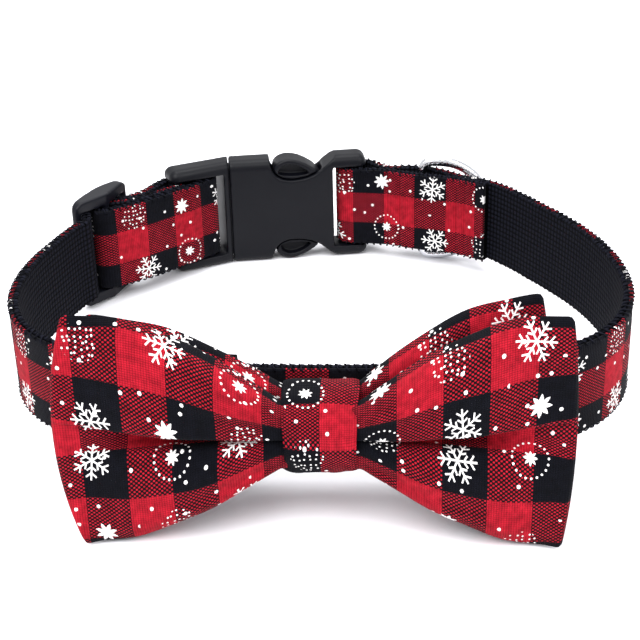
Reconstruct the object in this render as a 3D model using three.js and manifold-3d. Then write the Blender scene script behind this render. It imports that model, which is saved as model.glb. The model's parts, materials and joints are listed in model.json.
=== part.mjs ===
// Pet bow tie collar: a checked strap with a side-release buckle, a slider, a D-ring
// and a double bow on two elastic loops.
// Millimetres, +Z up. The collar stands on its edge, with the bow at -Y and the buckle at +Y.
import * as THREE from 'three';
import { mergeVertices } from 'three/addons/utils/BufferGeometryUtils.js';
import Module from 'manifold-3d';

const wasm = await Module();
wasm.setup();

// Neck loop, measured along the middle of the strap
const LOOP_WIDTH = 155.2;
const LOOP_DEPTH = 130;
const LOOP_TURN_DEG = -4;
const SEAM_ANGLE_DEG = 116.4;
// Shape of the loop as shares of its half width and half depth
const LOOP_SKEW = -0.042;
const LOOP_FLAT_BACK = -0.0753;
const LOOP_SQUARENESS = 0.0436;

// Strap
const STRAP_WIDTH = 25;
const WEBBING_THICK = 1.2;
const COVER_THICK = 1.0;
const COVER_INSET = 0.15;
const CLEAR = 0.3;
const WRAP_ROOM = 0.45;
const STRAP_TILT_DEG = 1.5;
const STRAP_THICK = WEBBING_THICK + CLEAR + COVER_THICK;
const COVER_WIDTH = STRAP_WIDTH - 2 * COVER_INSET;
const LAYER_PITCH = STRAP_THICK + CLEAR;

// Buckle
const BUCKLE_RIM = 3.8;
const BUCKLE_HEIGHT = STRAP_WIDTH + 2 * BUCKLE_RIM;
const BUCKLE_THICK = 9;
const BUCKLE_EDGE = 2.4;
const BUCKLE_CORNER = 2.6;
const BUCKLE_OFFSET = 5;
const SLOT_SPARE = 0.4;
const SLOT_HALF = STRAP_WIDTH / 2 + SLOT_SPARE;
const BAR_THICK = 3.4;
const SOCKET_BODY = 12.3;
const SOCKET_WAIST_END = 28.6;
const SOCKET_SLOT = 31.2;
const SOCKET_SLOT_WIDE = 4.4;
const SOCKET_BAR_WIDE = 5.2;
const SOCKET_WALL = 1.7;
const WAIST_HALF = 9.6;
const PLUG_SINK = 0.4;
const PLUG_FLANGE = 3.2;
const PLUG_SLOT = 4.4;
const PLUG_BAR_WIDE = 4;
const PLUG_END_SLOT = 3.9;
const PLUG_END_BAR = 3.8;
const PRONG_WIDE = 3.2;
const EAR_THICK = 7.6;
const EAR_POCKET_DEEP = 2.4;
const TONGUE_LENGTH = 22;
const TONGUE_HALF = 3.2;

// Slider
const SLIDER_LENGTH = 23;
const SLIDER_RIM = 3.7;
const SLIDER_HEIGHT = STRAP_WIDTH + 2 * SLIDER_RIM;
const SLIDER_BAR = 2.6;
const SLIDER_CENTRE = -39.2;
const SLIDER_OFFSET = 3.6;
const SLIDER_CORNER = 3;
const SLIDER_LEFT_RISE = 0.6;
const SLIDER_RIGHT_RISE = 3.5;

// D-ring
const RING_WIRE = 2.9;
const RING_HEIGHT = 33;
const RING_DEPTH = 22.6;
const RING_REST_DEG = 18;
const RING_CORNER = 2.4;
const POCKET_ROOM = 0.6;
const POCKET_DIP = 1.2;

// Where the strap is sewn, as lengths along the loop from the seam of the buckle
const POCKET_NEAR = 48;
const RING_PLACE = 58.4;
const POCKET_FAR = 69;
const TAIL_END = 79.5;

// Bow
const BOW_WIDTH = 111;
const BOW_END_HEIGHT = 57.6;
const BOW_WAIST_HEIGHT = 16.4;
const BOW_END_BULGE = 4.2;
const BOW_PUFF = 6.4;
const BOW_WAIST_THICK = 7.6;
const BOW_EDGE_THICK = 3.2;
const BOW_CLOTH = 1.1;
const BOW_FLARE = 9.8;
const BOW_SAG = 5;
const BOW_LEAN_DEG = 1;
const BOW_YAW_DEG = -3.4;
const BACK_BOW_ROLL_DEG = 3;
const BACK_BOW_RAISE = 0.3;
const BACK_BOW_SCALE = 0.92;
const KNOT_WIDTH = 16.6;
const KNOT_HEIGHT = 20;
const KNOT_CLOTH = 1.4;
const KNOT_ROUND = 6;
const KNOT_GAP = 0.5;
const BOW_SIDE = -0.45;
const BOW_SPREAD = 0.8;

// Elastic loops
const ELASTIC_WIDE = 8;
const ELASTIC_THICK = 1.1;
const ELASTIC_PLACE = 24;
const ELASTIC_ROOM = 0.5;
const ELASTIC_ROUND = 0.6;

const RAD = Math.PI / 180;
const strapHalf = STRAP_THICK / 2;

const material = (color, roughness, metalness = 0) => new THREE.MeshStandardMaterial({ color, roughness, metalness });
const webbingBlack = material('#1b1c26', 0.9);
const checkedCotton = material('#b01c2c', 0.85);
const blackPlastic = material('#2c2d38', 0.5);
const nickel = material('#c9ccd2', 0.25, 1);
const elasticBlack = material('#202028', 0.9);

// Solids for cutting and joining
function toSolid(geometry) {
  const bare = geometry.index ? geometry.toNonIndexed() : geometry.clone();
  bare.deleteAttribute('normal');
  bare.deleteAttribute('uv');
  const merged = mergeVertices(bare, 1e-3);
  return new wasm.Manifold(new wasm.Mesh({
    numProp: 3,
    vertProperties: new Float32Array(merged.attributes.position.array),
    triVerts: new Uint32Array(merged.index.array),
  }));
}

function toGeometry(solid) {
  const mesh = solid.getMesh();
  const geometry = new THREE.BufferGeometry();
  geometry.setAttribute('position', new THREE.BufferAttribute(new Float32Array(mesh.vertProperties), 3));
  geometry.setIndex(new THREE.BufferAttribute(new Uint32Array(mesh.triVerts), 1));
  geometry.computeVertexNormals();
  return geometry;
}

function meshOf(name, geometry, look) {
  const mesh = new THREE.Mesh(geometry, look);
  mesh.name = name;
  return mesh;
}

function fromTriangles(vertices, triangles) {
  const geometry = new THREE.BufferGeometry();
  geometry.setAttribute('position', new THREE.Float32BufferAttribute(vertices.flat(), 3));
  geometry.setIndex(triangles.flat());
  geometry.computeVertexNormals();
  return geometry;
}

// The neck loop seen from above. Lengths run clockwise from the seam of the buckle.
const LOOP_STEPS = 1440;
const loopTable = (() => {
  const a = LOOP_WIDTH / 2;
  const b = LOOP_DEPTH / 2;
  const points = [];
  for (let i = 0; i <= LOOP_STEPS; i += 1) {
    const t = SEAM_ANGLE_DEG * RAD - (i / LOOP_STEPS) * 2 * Math.PI;
    const x = a * (Math.cos(t) + LOOP_SKEW * Math.sin(2 * t));
    const y = b * (Math.sin(t) + LOOP_FLAT_BACK * Math.cos(2 * t) + LOOP_SQUARENESS * Math.sin(3 * t));
    points.push(new THREE.Vector2(x, y).rotateAround(new THREE.Vector2(), LOOP_TURN_DEG * RAD));
  }
  const lengths = [0];
  for (let i = 1; i <= LOOP_STEPS; i += 1) {
    lengths.push(lengths[i - 1] + points[i].distanceTo(points[i - 1]));
  }
  return { points, lengths, total: lengths[LOOP_STEPS] };
})();

// Place a length along the loop and an outward offset
function loopFrame(length) {
  const { points, lengths, total } = loopTable;
  const wanted = ((length % total) + total) % total;
  let low = 0;
  let high = LOOP_STEPS;
  while (high - low > 1) {
    const middle = (low + high) >> 1;
    if (lengths[middle] > wanted) high = middle;
    else low = middle;
  }
  const share = (wanted - lengths[low]) / (lengths[high] - lengths[low]);
  const along = points[high].clone().sub(points[low]).normalize();
  const origin = points[low].clone().lerp(points[high], share);
  return { origin, along, out: new THREE.Vector2(-along.y, along.x) };
}

function loopPlace(length, offset) {
  const { origin, out } = loopFrame(length);
  return origin.clone().addScaledVector(out, offset);
}

// Where each bar sits, as [length, offset] on the loop
const plugBarHalf = BAR_THICK / 2;
const wrapRadius = plugBarHalf + WRAP_ROOM + strapHalf;
const socketWrap = SOCKET_SLOT + SOCKET_SLOT_WIDE + plugBarHalf;
const plugWrap = PLUG_FLANGE + PLUG_SLOT + plugBarHalf;
const socketBar = [socketWrap, BUCKLE_OFFSET];
const plugEnd = PLUG_FLANGE + PLUG_SLOT + PLUG_BAR_WIDE + PLUG_END_SLOT + PLUG_END_BAR / 2;
const sliderReach = SLIDER_LENGTH / 2 - SLIDER_BAR / 2;
const sliderRadius = SLIDER_BAR / 2 + WRAP_ROOM + strapHalf;
const overSlider = sliderRadius + LAYER_PITCH;
const sliderLeft = [SLIDER_CENTRE - sliderReach, SLIDER_OFFSET + SLIDER_LEFT_RISE];
const sliderRight = [SLIDER_CENTRE + sliderReach, SLIDER_OFFSET + SLIDER_RIGHT_RISE];
const tailOffset = BUCKLE_OFFSET - wrapRadius;
const wireRoom = RING_WIRE + 2 * POCKET_ROOM + STRAP_THICK;
const ringBar = [RING_PLACE, tailOffset - POCKET_DIP + wireRoom / 2];

// Length along the loop at a straight distance to the left of a place
function lengthBefore(place, start, distance, offset) {
  let length = start - distance;
  for (let i = 0; i < 8; i += 1) {
    length += loopPlace(length, offset).distanceTo(place) - distance;
  }
  return length;
}

// The socket and the plug are two chords of the loop that meet at the seam
const wrapAt = loopPlace(...socketBar);
const seamLength = lengthBefore(wrapAt, socketBar[0], socketWrap, BUCKLE_OFFSET);
const seamAt = loopPlace(seamLength, BUCKLE_OFFSET);
const plugOffset = BUCKLE_OFFSET - PLUG_SINK;
const plugBar = [lengthBefore(seamAt, seamLength, plugWrap, plugOffset), plugOffset];
const plugEndBar = lengthBefore(seamAt, seamLength, plugEnd, plugOffset);
const socketAxis = wrapAt.clone().sub(seamAt).normalize();
const plugAxis = seamAt.clone().sub(loopPlace(...plugBar)).normalize();
// Offset from the loop of a place on a straight buckle half
const offsetAt = (length, from, axis, along) => {
  const { origin, out } = loopFrame(length);
  return from.clone().addScaledVector(axis, along).sub(origin).dot(out);
};

const arc = (centre, radius, from, to, steps) => Array.from({ length: steps + 1 }, (_, i) => {
  const angle = (from + (to - from) * (i / steps)) * RAD;
  return [centre[0] + radius * Math.cos(angle), centre[1] + radius * Math.sin(angle)];
});

// The route of the strap, from its sewn tail beside the D-ring to the tail at the slider
function strapRoute() {
  const outer = BUCKLE_OFFSET + wrapRadius;
  const sewn = tailOffset + LAYER_PITCH;
  const endBarY = offsetAt(plugEndBar, seamAt, plugAxis, -plugEnd);
  const socketEnd = socketBar[0] + SOCKET_BAR_WIDE - plugBarHalf;
  const socketEndY = offsetAt(socketEnd, wrapAt, socketAxis, socketEnd - socketBar[0]);
  const inBar = endBarY - wrapRadius;
  const innermost = inBar - LAYER_PITCH;
  const leftIn = sliderLeft[1] - sliderRadius;
  const rightIn = sliderRight[1] - sliderRadius;
  const middle = [SLIDER_CENTRE, SLIDER_OFFSET];
  const free = [];
  const freeStart = TAIL_END + 30;
  const freeEnd = loopTable.total - 76;
  const freeSteps = 24;
  for (let i = 0; i <= freeSteps; i += 1) {
    free.push([freeStart + (freeEnd - freeStart) * (i / freeSteps), 0]);
  }
  const wrap = loopTable.total;
  const points = [
    [TAIL_END, tailOffset],
    [POCKET_FAR, tailOffset],
    [RING_PLACE + 4, tailOffset - POCKET_DIP * 0.75],
    [RING_PLACE, tailOffset - POCKET_DIP],
    [RING_PLACE - 4, tailOffset - POCKET_DIP * 0.75],
    [POCKET_NEAR, tailOffset],
    [socketBar[0] + 4, tailOffset],
    ...arc(socketBar, wrapRadius, -90, -270, 6),
    [socketEnd, socketEndY + wrapRadius + 0.1],
    [POCKET_NEAR, sewn + 0.3],
    [RING_PLACE - 4, ringBar[1] + wireRoom / 2 - 0.7],
    [RING_PLACE, ringBar[1] + wireRoom / 2],
    [RING_PLACE + 4, ringBar[1] + wireRoom / 2 - 0.7],
    [POCKET_FAR, sewn],
    [TAIL_END, sewn - 0.1],
    [TAIL_END + 9, sewn * 0.55],
    [TAIL_END + 19, sewn * 0.15],
    ...free,
    [wrap + sliderLeft[0] - 14, 0.1],
    [wrap + sliderLeft[0] - 5, leftIn - 0.25],
    [wrap + sliderLeft[0], leftIn - 0.1],
    ...arc(middle, overSlider + 0.1, 165, 60, 5).map(([s, o]) => [wrap + s, o]),
    [wrap + sliderRight[0] - 3.6, rightIn + 2.2],
    [wrap + sliderRight[0], rightIn - 0.1],
    [wrap + sliderRight[0] + 4.5, rightIn + 0.1],
    [wrap + plugEndBar, endBarY + wrapRadius],
    ...arc(plugBar, wrapRadius, 90, -90, 6).map(([s, o]) => [wrap + s, o]),
    [wrap + plugBar[0] - 2, tailOffset - 0.9],
    [wrap + plugEndBar + 1.6, innermost + 0.05],
    [wrap + plugEndBar - 1.7, innermost],
    [wrap + sliderRight[0] + 4.5, rightIn - 2 * LAYER_PITCH - 0.3],
    [wrap + sliderRight[0], rightIn - 2 * LAYER_PITCH - 0.2],
    [wrap + sliderRight[0] - 5, SLIDER_OFFSET - sliderRadius - 1.4],
    ...arc(middle, sliderRadius, -90, -300, 7).map(([s, o]) => [wrap + s, o]),
    [wrap + sliderRight[0] - 3.6, rightIn - LAYER_PITCH + 1.2],
    [wrap + sliderRight[0], rightIn - LAYER_PITCH - 0.1],
    [wrap + sliderRight[0] + 4.5, rightIn - LAYER_PITCH - 0.1],
    [wrap + plugEndBar - 2.6, inBar],
    [wrap + plugEndBar + 1.2, inBar],
  ];
  return points.map(([s, o]) => loopPlace(s, o));
}

// Stations along a route, closer where it bends
function stationsOf(points, bendStep, longStep) {
  const curve = new THREE.CatmullRomCurve3(points.map((p) => new THREE.Vector3(p.x, p.y, 0)), false, 'centripetal');
  const fine = [];
  const spans = points.length - 1;
  const perSpan = 16;
  for (let i = 0; i <= spans * perSpan; i += 1) fine.push(curve.getPoint(i / (spans * perSpan)));
  const heading = (i) => {
    const a = fine[Math.max(0, i - 1)];
    const b = fine[Math.min(fine.length - 1, i + 1)];
    return Math.atan2(b.y - a.y, b.x - a.x);
  };
  const stations = [];
  let turned = Infinity;
  let walked = 0;
  let last = heading(0);
  for (let i = 0; i < fine.length; i += 1) {
    const now = heading(i);
    turned += Math.abs(Math.atan2(Math.sin(now - last), Math.cos(now - last)));
    walked += i > 0 ? fine[i].distanceTo(fine[i - 1]) : 0;
    last = now;
    if (turned > bendStep * RAD || walked > longStep || i === fine.length - 1) {
      stations.push({ at: fine[i], left: new THREE.Vector2(-Math.sin(now), Math.cos(now)) });
      turned = 0;
      walked = 0;
    }
  }
  return stations;
}

// A ribbon on edge: from offset near to offset far on the left of its route
function ribbon(stations, near, far, bottom, top) {
  const vertices = [];
  const triangles = [];
  stations.forEach(({ at, left }) => {
    [[near, bottom], [far, bottom], [far, top], [near, top]].forEach(([o, z]) => {
      vertices.push([at.x + left.x * o, at.y + left.y * o, z]);
    });
  });
  for (let i = 0; i < stations.length - 1; i += 1) {
    for (let k = 0; k < 4; k += 1) {
      const a = 4 * i + k;
      const b = 4 * i + ((k + 1) % 4);
      triangles.push([a, b, a + 4], [b, b + 4, a + 4]);
    }
  }
  const e = 4 * (stations.length - 1);
  triangles.push([0, 2, 1], [0, 3, 2], [e, e + 1, e + 2], [e, e + 2, e + 3]);
  return fromTriangles(vertices, triangles);
}

// Outline helpers
function roundedRect(x0, y0, x1, y1, r) {
  const shape = new THREE.Shape();
  shape.moveTo(x0 + r, y0);
  shape.lineTo(x1 - r, y0);
  shape.absarc(x1 - r, y0 + r, r, -Math.PI / 2, 0);
  shape.lineTo(x1, y1 - r);
  shape.absarc(x1 - r, y1 - r, r, 0, Math.PI / 2);
  shape.lineTo(x0 + r, y1);
  shape.absarc(x0 + r, y1 - r, r, Math.PI / 2, Math.PI);
  shape.lineTo(x0, y0 + r);
  shape.absarc(x0 + r, y0 + r, r, Math.PI, 1.5 * Math.PI);
  return shape;
}

// A plate drawn in length and height, thick along +-Y
function plate(shape, thick, edge, segments = 5) {
  const geometry = new THREE.ExtrudeGeometry(shape, {
    depth: thick - 2 * edge,
    bevelEnabled: edge > 0,
    bevelSize: edge,
    bevelOffset: -edge,
    bevelThickness: edge,
    bevelSegments: 3,
    curveSegments: segments,
  });
  geometry.translate(0, 0, -(thick / 2 - edge));
  return toSolid(geometry.rotateX(Math.PI / 2));
}

// A bar along Z with round edges
function bar(x0, x1, thick, height, r) {
  const geometry = new THREE.ExtrudeGeometry(roundedRect(x0, -thick / 2, x1, thick / 2, r), {
    depth: height, bevelEnabled: false, curveSegments: 5,
  });
  geometry.translate(0, 0, -height / 2);
  return toSolid(geometry);
}

function block(x0, x1, y0, y1, z0, z1) {
  const geometry = new THREE.BoxGeometry(x1 - x0, y1 - y0, z1 - z0);
  return toSolid(geometry.translate((x0 + x1) / 2, (y0 + y1) / 2, (z0 + z1) / 2));
}

const buckleHalf = BUCKLE_HEIGHT / 2;
const barReach = SLOT_HALF + 1;

// A buckle half's outer form: round edges all round but square at the seam, from x0 to x1
function buckleBlank(x0, x1, seamAtStart) {
  const spare = BUCKLE_EDGE + 2;
  const from = seamAtStart ? x0 - spare : x0;
  const to = seamAtStart ? x1 : x1 + spare;
  const outline = roundedRect(from, -buckleHalf, to, buckleHalf, BUCKLE_CORNER);
  const room = BUCKLE_THICK;
  const tall = BUCKLE_HEIGHT;
  return plate(outline, BUCKLE_THICK, BUCKLE_EDGE).intersect(block(x0, x1, -room, room, -tall, tall));
}

// The side window in the socket half, on the upper (1) or lower (-1) edge
function windowCut(sign) {
  const start = SOCKET_BODY;
  const top = buckleHalf + 3;
  const window = new THREE.Shape();
  const deep = WAIST_HALF;
  window.moveTo(start, sign * top);
  window.lineTo(start, sign * (buckleHalf - 1.5));
  window.bezierCurveTo(start + 0.6, sign * (deep + 1.6), start + 3, sign * deep, start + 6.5, sign * deep);
  window.bezierCurveTo(start + 11, sign * deep, SOCKET_WAIST_END - 2, sign * (deep + 1.4),
    SOCKET_WAIST_END, sign * (deep + 3.8));
  window.lineTo(SOCKET_SLOT + 1.6, sign * (buckleHalf + 0.4));
  window.lineTo(SOCKET_SLOT + 1.6, sign * top);
  return plate(window, 3 * BUCKLE_THICK, 0, 6);
}

// Socket half: body, waist with the two side windows, frame with the end bar
function socketSolid() {
  const barStart = SOCKET_SLOT + SOCKET_SLOT_WIDE;
  const end = barStart + SOCKET_BAR_WIDE + 0.7;
  const inside = BUCKLE_THICK / 2 - SOCKET_WALL;
  const cavityHalf = buckleHalf - SOCKET_WALL - 0.6;
  const cavityEnd = SOCKET_WAIST_END - 0.6;
  return buckleBlank(0, end, true)
    .subtract(block(-1, cavityEnd, -inside, inside, -cavityHalf, cavityHalf))
    .subtract(windowCut(1))
    .subtract(windowCut(-1))
    .subtract(block(SOCKET_SLOT, end + 1, -BUCKLE_THICK, BUCKLE_THICK, -SLOT_HALF, SLOT_HALF))
    .add(bar(barStart, barStart + SOCKET_BAR_WIDE, BAR_THICK, 2 * barReach, BAR_THICK / 2));
}

// One prong: straight inside the body, then the sprung ear in the side window
function prongSolid(sign) {
  const inZ = WAIST_HALF - PRONG_WIDE + 1.2;
  const outZ = WAIST_HALF + 1.2;
  const earTop = buckleHalf - 0.2;
  const flip = ([x, z]) => [x, z * sign];
  const outline = new THREE.Shape();
  const start = SOCKET_BODY + 0.8;
  const tip = SOCKET_WAIST_END - 1.6;
  const run = [[-1, inZ], [start + 3, inZ], [tip - 2, inZ - 0.6], [tip, inZ + 0.9]].map(flip);
  outline.moveTo(run[0][0], run[0][1]);
  run.slice(1).forEach(([x, z]) => outline.lineTo(x, z));
  outline.lineTo(tip + 0.4, (WAIST_HALF + 1.6) * sign);
  outline.quadraticCurveTo(start + 9, (earTop + 0.1) * sign, start + 4.4, earTop * sign);
  outline.quadraticCurveTo(start + 0.6, (earTop - 0.4) * sign, start, (earTop - 3.2) * sign);
  outline.lineTo(start - 0.6, outZ * sign);
  outline.lineTo(-1, outZ * sign);
  const inner = BUCKLE_THICK / 2 - SOCKET_WALL - CLEAR;
  const inWindow = [CLEAR, -CLEAR].map((shift) => windowCut(sign).translate([shift, 0, sign * CLEAR]));
  const ear = plate(outline, EAR_THICK, 0.6).intersect(inWindow[0]).intersect(inWindow[1]);
  const arm = plate(outline, 2 * inner, 0).intersect(block(-1, tip + 2, -9, 9, -99, 99));
  const pocket = new THREE.Shape();
  pocket.moveTo(start + 1.6, (WAIST_HALF + 1.9) * sign);
  pocket.quadraticCurveTo(start + 1.5, (earTop - 1.9) * sign, start + 4.6, (earTop - 1.5) * sign);
  pocket.quadraticCurveTo(start + 8.6, (earTop - 1.7) * sign, start + 11.2, (WAIST_HALF + 1.7) * sign);
  pocket.quadraticCurveTo(start + 6, (WAIST_HALF + 0.9) * sign, start + 1.6, (WAIST_HALF + 1.9) * sign);
  const room = EAR_THICK + 2;
  const hollow = plate(pocket, room, 0).translate([0, -(room / 2 + EAR_THICK / 2 - EAR_POCKET_DEEP), 0]);
  return { ear, arm, hollow };
}

function plugSolid(bend) {
  const end = -(PLUG_FLANGE + PLUG_SLOT + PLUG_BAR_WIDE + PLUG_END_SLOT + PLUG_END_BAR + 0.5);
  const centreBar = -(PLUG_FLANGE + PLUG_SLOT);
  const endBar = centreBar - PLUG_BAR_WIDE - PLUG_END_SLOT;
  const body = buckleBlank(end, -CLEAR, false)
    .subtract(block(end - BUCKLE_THICK, -PLUG_FLANGE, -BUCKLE_THICK, BUCKLE_THICK, -SLOT_HALF, SLOT_HALF))
    .add(bar(centreBar - PLUG_BAR_WIDE, centreBar, BAR_THICK, 2 * barReach, BAR_THICK / 2))
    .add(bar(endBar - PLUG_END_BAR, endBar, BAR_THICK, 2 * barReach, BAR_THICK / 2));
  // The frame is bent to follow the neck; the prongs stay straight
  const turned = body.warp((v) => {
    const x = v[0] + CLEAR;
    if (x >= 0) return;
    const share = Math.min(1, -x / PLUG_FLANGE);
    const angle = bend * share * share * (3 - 2 * share);
    const px = x * Math.cos(angle) - v[1] * Math.sin(angle);
    const py = x * Math.sin(angle) + v[1] * Math.cos(angle);
    v[0] = px - CLEAR;
    v[1] = py;
  });
  const inner = BUCKLE_THICK / 2 - SOCKET_WALL - CLEAR;
  const tongue = block(-1, TONGUE_LENGTH, -inner / 2, inner / 2, -TONGUE_HALF, TONGUE_HALF);
  let solid = turned.add(tongue);
  [1, -1].forEach((sign) => {
    const { ear, arm, hollow } = prongSolid(sign);
    solid = solid.add(arm).add(ear).subtract(hollow);
  });
  return solid;
}

// Slider: two arched side rails joined by three bars; X along the strap, Y outward
function sliderSolid() {
  const half = SLIDER_LENGTH / 2;
  const r = SLIDER_BAR / 2;
  const profile = new THREE.Shape();
  const left = SLIDER_LEFT_RISE;
  const right = SLIDER_RIGHT_RISE;
  profile.moveTo(-half + r, left - r);
  profile.lineTo(0, -r);
  profile.lineTo(half - r, right - r);
  profile.absarc(half - r, right, r, -Math.PI / 2, Math.PI / 2);
  profile.quadraticCurveTo(3, right + 3.2, -3, (left + right) / 2 + 2.2);
  profile.quadraticCurveTo(-half + 3.5, left + 2.2, -half + r, left + r);
  profile.absarc(-half + r, left, r, Math.PI / 2, 1.5 * Math.PI);
  const rail = new THREE.ExtrudeGeometry(profile, { depth: SLIDER_HEIGHT, bevelEnabled: false, curveSegments: 5 });
  rail.translate(0, 0, -SLIDER_HEIGHT / 2);
  const rails = toSolid(rail).subtract(block(-half - 1, half + 1, -9, 14, -SLOT_HALF, SLOT_HALF));
  const bars = [[-half + r, left], [0, 0], [half - r, right]].map(([x, y]) => {
    const rod = new THREE.CylinderGeometry(r, r, 2 * barReach, 16).rotateX(Math.PI / 2);
    return toSolid(rod.translate(x, y, 0));
  });
  const face = roundedRect(-half, -SLIDER_HEIGHT / 2, half, SLIDER_HEIGHT / 2, SLIDER_CORNER);
  return bars.reduce((all, one) => all.add(one), rails).intersect(plate(face, 40, 0));
}

// A wire bent into a closed D in the plane of length and height
function ringGeometry() {
  const r = RING_WIRE / 2;
  const half = RING_HEIGHT / 2 - r;
  const depth = RING_DEPTH - RING_WIRE;
  const corner = RING_CORNER;
  const leg = depth - half;
  const path = new THREE.Path();
  path.moveTo(0, 0);
  path.lineTo(0, half - corner);
  path.absarc(corner, half - corner, corner, Math.PI, Math.PI / 2, true);
  path.lineTo(Math.max(corner, leg), half);
  path.absarc(Math.max(corner, leg), 0, half, Math.PI / 2, -Math.PI / 2, true);
  path.lineTo(corner, -half);
  path.absarc(corner, -half + corner, corner, -Math.PI / 2, -Math.PI, true);
  path.lineTo(0, 0);
  const count = 56;
  const sides = 8;
  const spots = path.getSpacedPoints(count).slice(0, count);
  const vertices = [];
  const triangles = [];
  spots.forEach((spot, i) => {
    const next = spots[(i + 1) % count];
    const before = spots[(i + count - 1) % count];
    const along = next.clone().sub(before).normalize();
    for (let k = 0; k < sides; k += 1) {
      const angle = (k / sides) * 2 * Math.PI;
      const flat = Math.cos(angle) * r;
      vertices.push([spot.x + along.y * flat, Math.sin(angle) * r, spot.y - along.x * flat]);
    }
  });
  for (let i = 0; i < count; i += 1) {
    const j = (i + 1) % count;
    for (let k = 0; k < sides; k += 1) {
      const m = (k + 1) % sides;
      triangles.push([i * sides + k, i * sides + m, j * sides + k]);
      triangles.push([i * sides + m, j * sides + m, j * sides + k]);
    }
  }
  return fromTriangles(vertices, triangles);
}

// Bow: a hollow cotton tube gathered in the middle. u runs from one end to the other,
// v round the tube; the front has an upper and a lower lobe with a valley between them.
const mix = (a, b, t) => a + (b - a) * t;

const held = KNOT_WIDTH / (BOW_WIDTH * BACK_BOW_SCALE);

function bowPoint(u, side, height, inset, front, flare) {
  const away = Math.max(0, (Math.abs(u) - held) / (1 - held));
  const open = BOW_SPREAD * Math.sin(Math.PI / 2 * away) + (1 - BOW_SPREAD) * away;
  const halfHeight = mix(BOW_WAIST_HEIGHT, BOW_END_HEIGHT, open) / 2 - inset;
  const waist = BOW_WAIST_THICK / 2;
  const puff = side < 0 ? mix(waist, front, Math.sin(Math.PI * Math.min(1, away * 1.1))) : waist;
  const ending = Math.max(0, (away - 0.5) / 0.5);
  const thick = mix(puff, BOW_EDGE_THICK / 2, ending * ending) - inset;
  const round = Math.sqrt(Math.max(0, 1 - height ** 4));
  const valley = side < 0 ? 0.5 * thick * Math.exp(-((height / 0.22) ** 2)) * (1 - 0.8 * away) : 0;
  const bulge = BOW_END_BULGE * away * away * (0.5 - height * height);
  const reach = (BOW_WIDTH / 2 - inset) * u + Math.sign(u) * bulge;
  const forward = flare * away * away;
  const drop = BOW_SAG * (1 - away) ** 2;
  return [reach, side * (thick * round - valley) - forward, halfHeight * height - drop];
}

function bowGeometry(scale, puff) {
  const rows = 12;
  const flare = BOW_FLARE * scale * scale;
  const shares = [1, 0.86, 0.66, 0.46, 0.26, 0.1, 0].map((t) => held + (1 - held) * t);
  const us = [...shares.map((t) => -t), 0, ...shares.slice().reverse()];
  const across = us.length;
  const heights = Array.from({ length: rows + 1 }, (_, j) => -Math.cos((j / rows) * Math.PI) * 0.998);
  const ring = (u, inset) => {
    const front = heights.map((h) => bowPoint(u, -1, h, inset, puff, flare));
    const back = heights.slice(1, -1).reverse().map((h) => bowPoint(u, 1, h, inset, puff, flare));
    return [...front, ...back];
  };
  const around = 2 * rows;
  const vertices = [...us.map((u) => ring(u, 0)), ...us.map((u) => ring(u, BOW_CLOTH))].flat()
    .map(([x, y, z]) => [x * scale, y, (z + BOW_SAG) * scale - BOW_SAG]);
  const outer = (i, k) => i * around + (k % around);
  const inner = (i, k) => (across + i) * around + (k % around);
  // The seam is left open along a short stretch at the back of the waist
  const slitAcross = [(across - 1) / 2 - 1, (across - 1) / 2 + 1];
  const slitRow = Math.round(1.5 * rows);
  const inSlit = (i, k) => i >= slitAcross[0] && i < slitAcross[1] && k === slitRow;
  const triangles = [];
  const quad = (a, b, c, d) => triangles.push([a, b, c], [a, c, d]);
  for (let i = 0; i < across - 1; i += 1) {
    for (let k = 0; k < around; k += 1) {
      if (inSlit(i, k)) continue;
      quad(outer(i, k), outer(i + 1, k), outer(i + 1, k + 1), outer(i, k + 1));
      quad(inner(i, k), inner(i, k + 1), inner(i + 1, k + 1), inner(i + 1, k));
    }
  }
  for (let i = slitAcross[0]; i < slitAcross[1]; i += 1) {
    quad(outer(i, slitRow), outer(i + 1, slitRow), inner(i + 1, slitRow), inner(i, slitRow));
    quad(outer(i, slitRow + 1), inner(i, slitRow + 1), inner(i + 1, slitRow + 1), outer(i + 1, slitRow + 1));
  }
  const [s0, s1] = slitAcross;
  quad(outer(s0, slitRow), inner(s0, slitRow), inner(s0, slitRow + 1), outer(s0, slitRow + 1));
  quad(outer(s1, slitRow), outer(s1, slitRow + 1), inner(s1, slitRow + 1), inner(s1, slitRow));
  // Each end is closed across its flat tube, outside and inside
  const cap = (at, i, flip) => {
    for (let k = 0; k < rows; k += 1) {
      const a = at(i, k);
      const b = at(i, k + 1);
      const c = at(i, around - k - 1);
      const d = at(i, around - k);
      const faces = k === 0 ? [[a, b, c]] : k === rows - 1 ? [[a, b, d]] : [[a, b, c], [a, c, d]];
      faces.forEach(([p, q, r]) => triangles.push(flip ? [p, r, q] : [p, q, r]));
    }
  };
  cap(outer, 0, false);
  cap(outer, across - 1, true);
  cap(inner, 0, true);
  cap(inner, across - 1, false);
  return fromTriangles(vertices, triangles);
}

// A closed band: the space between two outlines in the plane of Y and Z, wide along X
function bandGeometry(outerShape, holeShape, wide) {
  outerShape.holes.push(holeShape);
  const geometry = new THREE.ExtrudeGeometry(outerShape, { depth: wide, bevelEnabled: false, curveSegments: 6 });
  geometry.translate(0, 0, -wide / 2);
  // The shape's X becomes Y and its Y becomes Z
  geometry.applyMatrix4(new THREE.Matrix4().makeBasis(
    new THREE.Vector3(0, 1, 0), new THREE.Vector3(0, 0, 1), new THREE.Vector3(1, 0, 0)));
  return toGeometry(toSolid(geometry));
}

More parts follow.
